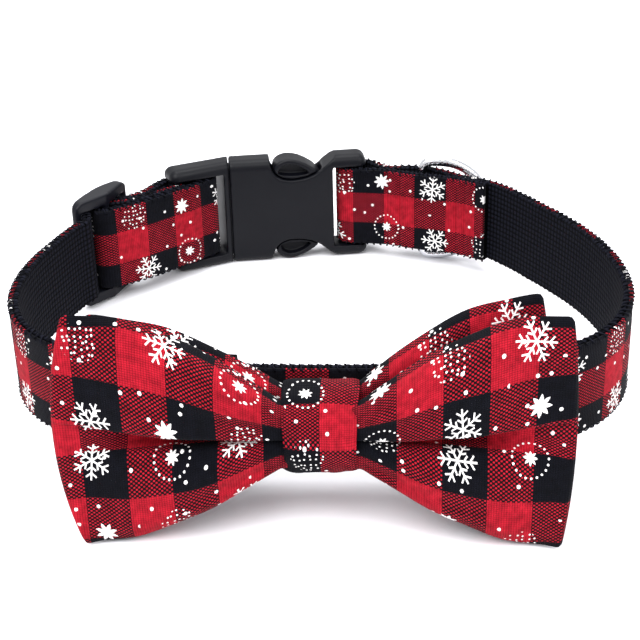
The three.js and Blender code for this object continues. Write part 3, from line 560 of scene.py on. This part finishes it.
STEPS_ACROSS = 14
EDGE_FLAT = 0.6  # share of a band's thickness that its rounded edge keeps upright
EDGE_INSET = 0.25  # how far that upright stays inside the width, as a share of the edge


def ribbon(route, up, near, far, width, edge, shape, u_start=0.0):
    """A flat band along the route from offset near to far, with rounded edges and a shape function."""
    profile = []
    half = width / 2
    mid, thick = (near + far) / 2, (far - near) / 2
    upright, inset = thick * EDGE_FLAT, edge * EDGE_INSET
    for k in range(STEPS_ACROSS + 1):
        profile.append((far, mix(-half + edge, half - edge, k / STEPS_ACROSS)))
    profile += [(mid + upright, half - inset), (mid - upright, half - inset)]
    for k in range(STEPS_ACROSS + 1):
        profile.append((near, mix(half - edge, -half + edge, k / STEPS_ACROSS)))
    profile += [(mid - upright, -half + inset), (mid + upright, -half + inset)]
    around = len(profile)

    def place(i, j):
        length, centre, left = route[i]
        offset, high = shape(length, *profile[j])
        return centre + left * offset + up * high

    def cloth_uv(i, j):
        high = profile[j][1] if j < around else profile[0][1]
        return route[i][0] - u_start, high

    return tube_grid(len(route), around, place, cloth_uv)


THREAD_RADIUS = 0.2 * MM
THREAD_SIDES = 5
THREAD_REACH = 1.36 * MM  # how far the coil stands out on both faces of the strap
THREAD_RISE = 0.75 * MM  # half the height of the coil
THREAD_DROP = 0.62 * MM  # how far its middle lies inside the edge
THREAD_UV = (0.3 * MM, 0.2 * MM)  # cloth taken by one step along the thread, and by one round it


def overcast(route, up, edge, strap):
    """The overcast thread along one edge of the strap, as one long coil round that edge."""
    way = math.copysign(1, edge)
    line = []
    for length, centre, left in route:
        for part in (0.0, 0.5):
            turn = 2 * math.pi * (length + part * strap.step) / strap.scallop
            line.append(centre + left * THREAD_REACH * math.cos(turn)
                        + up * (edge + way * (THREAD_RISE * math.sin(turn) - THREAD_DROP)))

    def place(i, j):
        ahead = (line[min(len(line) - 1, i + 1)] - line[max(0, i - 1)]).normalized()
        across = ahead.cross(up).normalized()
        other = ahead.cross(across)
        turn = 2 * math.pi * j / THREAD_SIDES
        return line[i] + (across * math.cos(turn) + other * math.sin(turn)) * THREAD_RADIUS

    return tube_grid(len(line), THREAD_SIDES, place, lambda i, j: (i * THREAD_UV[0], j * THREAD_UV[1]))


LOOP_ZONE = 1.2 * MM  # how far from the edge the woven loops start
LOOP_DEPTH = 0.35 * MM
BAND_EDGE = 0.5 * MM  # rounding of the edges of the webbing and the cover
CHECK_START = 7.9 * MM  # place of the check along the strap
SEAM_WIDTH = 0.4 * MM
# Seams of the cover in millimetres: distance from the strap's end, and depth of the groove
TAIL_SEAMS = ((6.4, 0.5), (9.4, 0.5), (27.3, 0.85), (31.5, 0.5))
END_SEAMS = ((25.6, 0.55), (28.6, 0.55))


class COLLAR_OT_strap(bpy.types.Operator):
    """Black webbing with scalloped woven edges, and its checked cotton cover"""

    bl_idname = "collar.strap"
    bl_label = "Strap"

    def execute(self, context):
        strap = context.scene.collar_strap
        stations = strap_stations()
        route, up = resampled(stations, strap.step)
        outer = stations[0][1].length / 2
        half = strap.webbing_width / 2

        def woven_edge(length, offset, high):
            share = max(0.0, (abs(high) - half + LOOP_ZONE) / LOOP_ZONE)
            loop = 0.5 + 0.5 * math.cos(2 * math.pi * length / strap.scallop)
            return offset, high - math.copysign(share * LOOP_DEPTH * (1 - loop), high)

        nylon = nylon_webbing("Woven nylon webbing", strap)
        back = -outer - strap.webbing_thick / 2
        front = -outer + strap.webbing_thick / 2
        webbing = ribbon(route, up, back, front, strap.webbing_width, BAND_EDGE, woven_edge)
        finish_piece(webbing, "webbing", nylon, "collar", ["strap_webbing"])
        for name, edge in (("overcast_top", half), ("overcast_low", -half)):
            finish_piece(overcast(route, up, edge, strap), name, nylon, "collar", [])
        near = outer - strap.cover_thick / 2
        far = outer + strap.cover_thick / 2
        total = route[-1][0]
        seams = [(at * MM, deep * MM) for at, deep in TAIL_SEAMS]
        seams += [(total - at * MM, deep * MM) for at, deep in END_SEAMS]

        def sewn(length, offset, high):
            dip = sum(deep * math.exp(-(((length - at) / SEAM_WIDTH) ** 2)) for at, deep in seams)
            return offset - (dip if offset > outer else 0), high

        cover = ribbon(route, up, near, far, strap.cover_width, BAND_EDGE, sewn, CHECK_START)
        finish_piece(cover, "cotton_cover", shared_cotton(context.scene), "collar", ["strap_cover"])
        return {"FINISHED"}


# The bow's middle and its turns, as in the CAD
BOW_PLACE = Vector((0.33223, -53.82363, 28.83052)) * MM
BOW_YAW = math.radians(-3.4)
BOW_LEAN = math.radians(-1)
FOLD_TUCK = 1.0 * MM  # how far the upper lobe's underside rises behind its rim


def bow_matrix():
    """The bow's own axes in the row frame."""
    turn = Matrix.Rotation(BOW_YAW, 4, "Z") @ Matrix.Rotation(BOW_LEAN, 4, "X")
    return Matrix.Translation(BOW_PLACE) @ turn


def lobe_profile(half, full, rim_up, rim_low, fold):
    """Points (depth, height) down the front of a wing, with shares of its full depth and of its half height.

    The upper lobe overhangs a valley above the lower lobe. A fold of 0 fills the valley.
    """
    centre = (rim_up + rim_low) / 2
    tuck = FOLD_TUCK * fold
    return [
        (0.0, half),
        (0.5 * full, 0.965 * half),
        (0.88 * full, 0.82 * half),
        (full, mix(rim_up, half, 0.5)),
        (0.98 * full, mix(rim_up, half, 0.2)),
        (full * mix(1, 0.86, fold), rim_up),
        (full * mix(1, 0.5, fold), rim_up + tuck),
        (full * mix(1, 0.16, fold), mix(rim_up, centre, 0.4) + tuck / 2),
        (full * mix(1, 0.06, fold), centre),
        (full * mix(1, 0.22, fold), mix(rim_low, centre, 0.35)),
        (full * mix(1, 0.62, fold), rim_low),
        (0.95 * full, mix(rim_low, -half, 0.2)),
        (full, mix(rim_low, -half, 0.5)),
        (0.88 * full, -0.82 * half),
        (0.5 * full, -0.965 * half),
        (0.0, -half),
    ]


LOBE_RIMS = (5, 8, 10)  # rows of lobe_profile that hold the upper rim, the valley and the lower rim
PER_SPAN = 4
BACK_ROWS = 20
COLUMNS = 168

# How a wing changes along its length; "away" runs from 0 at the knot to 1 at the wing's end
SPREAD_ROUND = 0.8  # share of its widening that is rounded, while the rest is straight
EDGE_WAVE = 0.35 * MM
EDGE_WAVE_PITCH = 3.1 * MM
EDGE_SWELL = 0.9 * MM
EDGE_CORNER = 0.8
BACK_LEFT_HOLLOW = 3.2 * MM
LOBE_HURRY = 1.1  # above 1, the lobe is deepest nearer to the knot
END_START = 0.55
END_FRONT = 1.7 * MM
END_BACK = 1.2 * MM
CORNER_DEPTH = 0.35
FOLD_START = 0.6
LEFT_FOLD_FADE = 0.85
RIGHT_FOLD_FADE = 0.55
RIM_AT_KNOT = 0.2 * MM
LEFT_UPPER_RIM = 3.6 * MM
RIGHT_UPPER_RIM = 4.4 * MM
LOWER_RIM = 4.6 * MM
# Cloth from the valley to a rim, at the knot and at the wing's end
CLOTH_TO_UPPER_RIM = (8.3 * MM, 3.6 * MM)
CLOTH_TO_LOWER_RIM = (8.8 * MM, 4.6 * MM)
RUCK_DEPTH = 0.5 * MM
RUCK_START = 0.1
RUCK_FADE = 1.3
RUCKS = 13
FINE_RUCKS = 23
DENT_DEPTH = 1.3 * MM
DENTS_ALONG = 4.2
DENTS_ACROSS = 1.7


def bow_ring(bow, share, scale, puff, seed):
    """One ring of a bow: (x, y, z, along, across) from the upper edge down the front and up the back."""
    left = share < 0
    reach = bow.left_reach if left else bow.right_reach
    bulge = bow.left_bulge if left else bow.right_bulge
    flat = abs(share) * reach
    away = max(0.0, (flat - bow.held) / (reach - bow.held))
    spread = mix(away, math.sin(math.pi / 2 * away), SPREAD_ROUND)
    corner = max(0.0, (flat - reach + bow.corner) / bow.corner)
    turned = math.sqrt(max(0.0, 1 - corner * corner))
    wave = EDGE_WAVE * math.sin(flat / EDGE_WAVE_PITCH + seed) * away
    half = mix(bow.waist_height, bow.end_height, spread) / 2 - bow.corner * (1 - turned) * EDGE_CORNER + wave
    half += EDGE_SWELL * math.sin(math.pi * away)
    if left and scale < 1:
        half -= BACK_LEFT_HOLLOW * away * (1 - away)
    waist = bow.waist_thick / 2
    ending = max(0.0, (away - END_START) / (1 - END_START)) ** 2
    lobe = mix(waist, puff, math.sin(math.pi * min(1.0, away * LOBE_HURRY)))
    full = mix(lobe, END_FRONT, ending) * mix(CORNER_DEPTH, 1, turned)
    fade = LEFT_FOLD_FADE if left else RIGHT_FOLD_FADE
    fold = 1 - smoothstep((away - FOLD_START) / (1 - FOLD_START)) * fade
    rim_up = mix(RIM_AT_KNOT, LEFT_UPPER_RIM if left else RIGHT_UPPER_RIM, away)
    rim_low = -mix(RIM_AT_KNOT, LOWER_RIM, away)
    rows = lobe_profile(half, full, rim_up, rim_low, fold)
    front = smooth_line([Vector((depth, high, 0)) for depth, high in rows], PER_SPAN)
    lengths = [0.0]
    for a, b in zip(front, front[1:]):
        lengths.append(lengths[-1] + (b - a).length)
    marks = [0] + [PER_SPAN * k for k in LOBE_RIMS] + [len(front) - 1]
    to_upper, to_lower = mix(*CLOTH_TO_UPPER_RIM, away), mix(*CLOTH_TO_LOWER_RIM, away)
    cloth = [bow.half_cloth, to_upper, 0.0, -to_lower, -bow.half_cloth]
    across = []
    for k, length in enumerate(lengths):
        m = max(i for i in range(4) if marks[i] <= k)
        a, b = lengths[marks[m]], lengths[marks[m + 1]]
        across.append(mix(cloth[m], cloth[m + 1], (length - a) / max(1e-9, b - a)))
    drop = bow.sag * (1 - away)
    forward = bow.flare * scale * scale * away * away
    ruck = RUCK_DEPTH * smoothstep(away / RUCK_START) * (1 - away) ** RUCK_FADE
    ring = []

    def put(depth, high, v, strength):
        tone = high / half
        folds = math.sin(RUCKS * tone + seed) + 0.5 * math.sin(FINE_RUCKS * tone + 2 * seed)
        bent = ruck * folds * strength
        spot = Vector((share * DENTS_ALONG + seed, tone * DENTS_ACROSS, seed))
        dent = noise.noise(spot) * DENT_DEPTH * math.sin(math.pi * away)
        x = share * reach + (-1 if left else 1) * bulge * away * away * (0.5 - tone * tone)
        y = -(depth + (bent + dent) * strength) - forward
        z = (high - drop + bow.sag) * scale - bow.sag
        ring.append((x * scale, y, z, x - bow.check_shift, v))

    for point, v in zip(front, across):
        put(point.x, point.y, v, min(1.0, point.x / max(1e-6, full)))
    for k in range(1, BACK_ROWS):
        tone = -math.cos(math.pi * k / BACK_ROWS)
        depth = -mix(waist, END_BACK, ending) * turned * math.sqrt(1 - tone ** 4)
        put(depth, tone * half, tone * bow.half_cloth, 0.0)
    return ring


FLOOR_GAP = 0.1 * MM


def resting(point):
    """The point, lifted onto the floor where the cloth would pass below it."""
    return Vector((point.x, point.y, max(point.z, FLOOR_GAP)))


class COLLAR_OT_bow(bpy.types.Operator):
    """The two stacked bows of gathered check cotton and the strip round their middle"""

    bl_idname = "collar.bow"
    bl_label = "Bow"

    def execute(self, context):
        bow = context.scene.collar_bow
        cotton = shared_cotton(context.scene)
        back_y = -bow.knot_cloth - bow.cloth_gap - bow.waist_thick / 2
        front_y = back_y - bow.waist_thick - bow.cloth_gap
        # Node, size, depth of the lobes, place, turn, height and the seed of the folds
        bows = (("bow_front", 1.0, bow.puff, front_y, 0.0, 0.0, 0.7),
                ("bow_back", bow.back_scale, bow.waist_thick / 2, back_y, bow.back_roll, bow.back_raise, 2.9))
        for name, scale, puff, depth, roll, lift, seed in bows:
            at = bow_matrix() @ Matrix.Translation((0, depth, lift)) @ Matrix.Rotation(-roll, 4, "Y")
            rings = [bow_ring(bow, -1 + 2 * i / (COLUMNS - 1), scale, puff, seed) for i in range(COLUMNS)]
            around = len(rings[0])
            bm = tube_grid(COLUMNS, around, lambda i, j: resting(at @ Vector(rings[i][j][:3])),
                           lambda i, j: rings[i][j % around][3:])
            piece = finish_piece(bm, name + "_cloth", cotton, "collar", [name])
        knot = finish_piece(knot_strip(bow), "knot_cloth", cotton, "collar", ["bow_knot"])
        return {"FINISHED"}


KNOT_STEPS = 120
KNOT_ROWS = 24
KNOT_INNER_ROWS = 6
KNOT_SQUARE = 2.5  # power of its round section: 2 is an ellipse, more is squarer
KNOT_SIDE = 0.6  # share of the cloth's thickness that its side stays at full width
KNOT_LOOK = 0.01  # radians to both sides over which its outward way is measured
KNOT_FOLD = 0.5 * MM
KNOT_FOLD_PITCH = 6 * MM
KNOT_FOLD_TURN = 1.6
KNOT_EDGE_ROLL = 0.9 * MM
KNOT_PUCKER = 0.25 * MM
KNOT_PUCKERS = 9
KNOT_CHECK_ALONG = 5.0 * MM
KNOT_CHECK_TURN = math.radians(27)
KNOT_CHECK_RADIUS = 9.4 * MM


def knot_strip(bow):
    """The folded strip round the bows' middle: a closed band with rolled edges and soft cross folds."""
    deep = bow.waist_thick + 1.5 * bow.cloth_gap + bow.knot_cloth
    tall = bow.knot_height / 2
    half = bow.knot_width / 2
    side = -KNOT_SIDE * bow.knot_cloth
    profile = [(mix(-half, half, k / KNOT_ROWS), 0.0) for k in range(KNOT_ROWS + 1)]
    profile += [(half, side)]
    profile += [(mix(half, -half, k / KNOT_INNER_ROWS), -bow.knot_cloth) for k in range(KNOT_INNER_ROWS + 1)]
    profile += [(-half, side)]
    at = bow_matrix() @ Matrix.Translation((0, -deep, -bow.sag))

    def rim(turn):
        c, s = math.cos(turn), math.sin(turn)
        power = 2 / KNOT_SQUARE
        y = -math.copysign(abs(c) ** power, c) * deep
        z = math.copysign(abs(s) ** power, s) * tall
        return Vector((0, y, z))

    def place(i, j):
        turn = 2 * math.pi * (i % (KNOT_STEPS - 1)) / (KNOT_STEPS - 1)
        x, offset = profile[j]
        base = rim(turn)
        ahead = rim(turn + KNOT_LOOK) - rim(turn - KNOT_LOOK)
        out = Vector((0, ahead.z, -ahead.y)).normalized()
        if out.dot(base) < 0:
            out = -out
        edge = abs(x) / half
        soft = KNOT_FOLD * noise.noise(Vector((x / KNOT_FOLD_PITCH, turn * KNOT_FOLD_TURN, 3.0)))
        soft -= KNOT_EDGE_ROLL * edge ** 6
        soft += KNOT_PUCKER * math.sin(turn * KNOT_PUCKERS + 3 * x / half) * edge * edge
        squeeze = 1 - 0.03 * math.cos(2 * turn) + 0.012 * math.sin(5 * turn)
        return at @ (base + out * (offset + (soft if offset == 0 else 0)) + Vector((x * squeeze, 0, 0)))

    def cloth_uv(i, j):
        x = profile[j % len(profile)][0]
        turn = 2 * math.pi * i / (KNOT_STEPS - 1)
        turn = turn if turn < math.pi else turn - 2 * math.pi
        return x - KNOT_CHECK_ALONG, (turn - KNOT_CHECK_TURN) * KNOT_CHECK_RADIUS

    return tube_grid(KNOT_STEPS, len(profile), place, cloth_uv)


PLASTIC_ROUGH = 0.42
SLIDER_ROUGH = 0.35
SKIN_VOXEL = 0.32 * MM
SKIN_PASSES = 9
WELD_GAP = 0.01 * MM
GAUGE_LOSS = 0.14 * MM  # how much thinner subdivision makes the ring's wire, on every side


class COLLAR_OT_hardware(bpy.types.Operator):
    """Buckle halves, slider and ring with their finishes"""

    bl_idname = "collar.hardware"
    bl_label = "Hardware"

    def execute(self, context):
        hardware = context.scene.collar_hardware
        plastic = moulded_plastic("Moulded acetal", hardware.plastic, PLASTIC_ROUGH)
        satin = moulded_plastic("Satin acetal", hardware.slider, SLIDER_ROUGH)
        nickel = nickel_plate("Nickel plate", hardware.nickel)
        elastic = nylon_webbing("Knitted elastic", context.scene.collar_strap)
        looks = {"buckle_socket": plastic, "buckle_plug": plastic, "slider": satin, "d_ring": nickel,
                 "elastic_left": elastic, "elastic_right": elastic}
        for name, material in looks.items():
            node = frame["nodes"][name]
            node.data.materials.clear()
            node.data.materials.append(material)
        finish_piece(seam_lip(hardware), "seam_lip", plastic, "collar", [])
        for name in ("buckle_socket", "buckle_plug", "slider"):
            skin = frame["nodes"][name].modifiers.new("Moulded skin", "REMESH")
            skin.mode = "VOXEL"
            skin.voxel_size = SKIN_VOXEL
            skin.use_smooth_shade = True
            soften = frame["nodes"][name].modifiers.new("Round edges", "SMOOTH")
            soften.factor = 0.5
            soften.iterations = SKIN_PASSES
        ring = frame["nodes"]["d_ring"]
        ring.modifiers.new("Joined corners", "WELD").merge_threshold = WELD_GAP
        round_wire = ring.modifiers.new("Round wire", "SUBSURF")
        round_wire.levels = round_wire.render_levels = 2
        gauge = ring.modifiers.new("Full gauge", "DISPLACE")
        gauge.strength = GAUGE_LOSS
        gauge.mid_level = 0
        return {"FINISHED"}


LIP_RINGS = 4
LIP_SIDES = 40
LIP_START = -1.4 * MM  # from the seam; minus is towards the plug
LIP_STEP = 0.7 * MM
LIP_SQUARE = 7  # power of its rounded oblong section


def seam_lip(hardware):
    """The plug's lip, seen as the dark line inside the buckle's seam."""
    mount = frame["record"]["mounts"][0]
    out = Vector(mount["axis"])
    up = Vector(frame["record"]["behaviour"]["joints"][0]["axis"])
    along = out.cross(up).normalized()
    middle = Vector(mount["pos_m"]) - out * hardware.face_depth - along * hardware.face_along
    deep, tall = hardware.lip_thick / 2, hardware.lip_height / 2

    def place(i, j):
        turn = 2 * math.pi * j / LIP_SIDES
        power = 2 / LIP_SQUARE
        c, s = math.cos(turn), math.sin(turn)
        y = math.copysign(abs(c) ** power, c) * deep
        z = math.copysign(abs(s) ** power, s) * tall
        return middle + along * (LIP_START + LIP_STEP * i) + out * y + up * z

    return tube_grid(LIP_RINGS, LIP_SIDES, place)


FLOOR_HALF = 3.0
LAMP_AIM = Vector((0, 0, 0.02))
# Name, place, side in metres and power in watts
LAMPS = (
    ("key_light", (-0.35, -0.5, 0.9), 0.7, 11.0),
    ("fill_light", (0.6, -0.4, 0.7), 0.6, 5.0),
    ("top_light", (0.0, 0.35, 1.0), 0.8, 8.0),
)


class COLLAR_OT_stage(bpy.types.Operator):
    """White floor, soft studio light and the camera"""

    bl_idname = "collar.stage"
    bl_label = "Stage"

    def execute(self, context):
        scene, view = context.scene, context.scene.collar_view
        bm = bmesh.new()
        bmesh.ops.create_grid(bm, x_segments=1, y_segments=1, size=FLOOR_HALF)
        mesh = bpy.data.meshes.new("floor")
        bm.to_mesh(mesh)
        bm.free()
        floor = bpy.data.objects.new("floor", mesh)
        scene.collection.objects.link(floor)
        material, tree, shader = new_material("White sweep")
        shader.inputs["Base Color"].default_value = hex_colour("#F4F4F8")
        shader.inputs["Roughness"].default_value = 0.9
        mesh.materials.append(material)

        world = bpy.data.worlds.new("Studio")
        world.use_nodes = True
        world.node_tree.nodes["Background"].inputs["Color"].default_value = hex_colour("#FDFDFF")
        world.node_tree.nodes["Background"].inputs["Strength"].default_value = 1.0
        scene.world = world
        scene.view_settings.view_transform = "Standard"
        for name, spot, size, power in LAMPS:
            lamp = bpy.data.lights.new(name, "AREA")
            lamp.size = size
            lamp.energy = power
            item = bpy.data.objects.new(name, lamp)
            item.location = spot
            aim = LAMP_AIM - Vector(spot)
            item.rotation_euler = aim.to_track_quat("-Z", "Y").to_euler()
            scene.collection.objects.link(item)

        lens = bpy.data.cameras.new("photo_camera")
        lens.lens = view.focal
        lens.sensor_width = SENSOR_MM
        lens.clip_start = 0.01
        camera = bpy.data.objects.new("photo_camera", lens)
        turn = (Matrix.Rotation(view.yaw, 4, "Z") @ Matrix.Rotation(math.pi / 2 - view.pitch, 4, "X")
                @ Matrix.Rotation(view.roll, 4, "Z"))
        camera.matrix_world = Matrix.Translation((view.side, view.middle - view.distance, view.height)) @ turn
        scene.collection.objects.link(camera)
        scene.camera = camera
        return {"FINISHED"}


class COLLAR_PT_panel(bpy.types.Panel):
    """Buttons for the collar's pieces and their sizes"""

    bl_idname = "COLLAR_PT_panel"
    bl_label = "Pet Bow Tie Collar"
    bl_space_type = "VIEW_3D"
    bl_region_type = "UI"
    bl_category = "Collar"

    def draw(self, context):
        for operator in OPERATORS:
            self.layout.operator(operator.bl_idname)
        for name, group in GROUPS.items():
            box = self.layout.box()
            for prop in group.__annotations__:
                box.prop(getattr(context.scene, name), prop)


GROUPS = {
    "collar_cloth": CollarCloth,
    "collar_strap": CollarStrap,
    "collar_bow": CollarBow,
    "collar_hardware": CollarHardware,
    "collar_view": CollarView,
}
OPERATORS = (COLLAR_OT_stage, COLLAR_OT_strap, COLLAR_OT_bow, COLLAR_OT_hardware)
CLASSES = (*GROUPS.values(), *OPERATORS, COLLAR_PT_panel)


def register():
    for cls in CLASSES:
        bpy.utils.register_class(cls)
    for name, group in GROUPS.items():
        setattr(bpy.types.Scene, name, PointerProperty(type=group))


def unregister():
    for name in GROUPS:
        delattr(bpy.types.Scene, name)
    for cls in reversed(CLASSES):
        bpy.utils.unregister_class(cls)


def main():
    register()
    bpy.ops.collar.stage()
    bpy.ops.collar.strap()
    bpy.ops.collar.bow()
    bpy.ops.collar.hardware()


if __name__ == "__main__":
    main()
